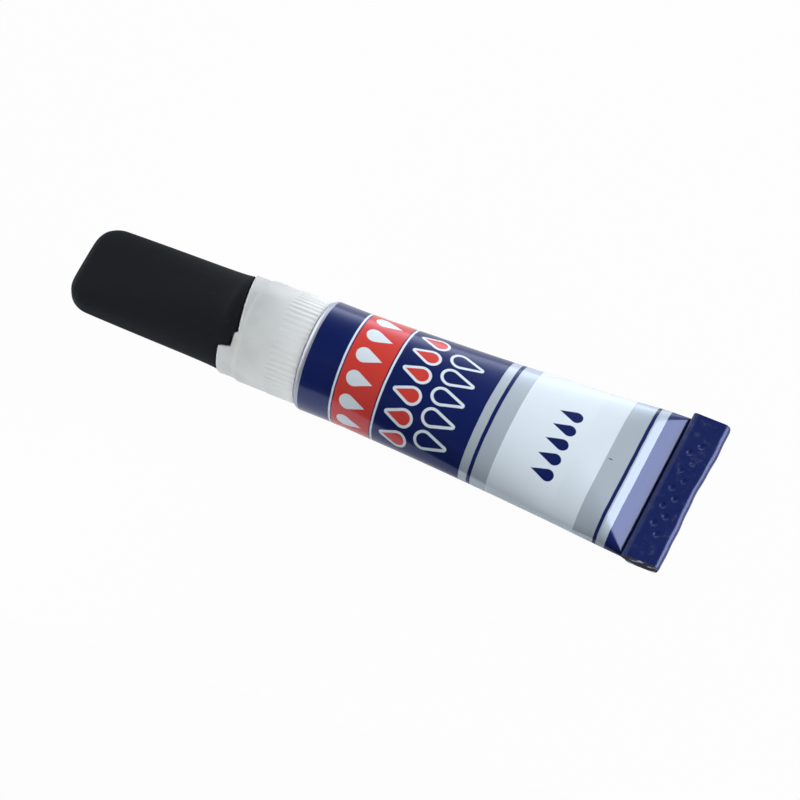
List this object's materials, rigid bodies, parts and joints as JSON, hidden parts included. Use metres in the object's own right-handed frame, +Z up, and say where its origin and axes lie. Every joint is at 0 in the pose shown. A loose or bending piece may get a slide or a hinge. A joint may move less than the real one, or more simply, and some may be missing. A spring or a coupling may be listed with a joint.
{
  "type": "super glue tube",
  "caption": "Small collapsible aluminium glue tube with a folded crimp, a screw-on spout with a ribbed skirt and a flat paddle cap that pulls off.",
  "frame": {"origin": "centre of the overall box, on the table the tube lies on", "axes": "+X along the table from the cap towards the crimp, +Y across the crimp, +Z up"},
  "size_m": [0.0776, 0.0214, 0.0146],
  "materials": {
    "printed_aluminium": "drawn aluminium with a glossy printed lacquer",
    "glue": "clear thin liquid",
    "seal_rubber": "dried latex",
    "white_plastic": "translucent moulded polyethylene",
    "black_plastic": "satin moulded polypropylene",
    "pin_steel": "drawn wire"
  },
  "bodies": {
    "tube": {"tube_shell": "printed_aluminium", "adhesive": "glue", "seal_strip": "seal_rubber"},
    "nozzle": {"nozzle": "white_plastic"},
    "cap": {"cap_shell": "black_plastic", "anti_clog_pin": "pin_steel"}
  },
  "joints": [
    {"name": "nozzle_turn", "type": "hinge", "parent": "tube", "child": "nozzle", "pos_m": [-0.00827, 0, 0.00714], "axis": [-0.989, 0, 0.1481], "range_deg": [0, 810]},
    {"name": "cap_pull", "type": "slide", "parent": "nozzle", "child": "cap", "axis": [-0.989, 0, 0.1481], "range_m": [0, 0.025]}
  ]
}
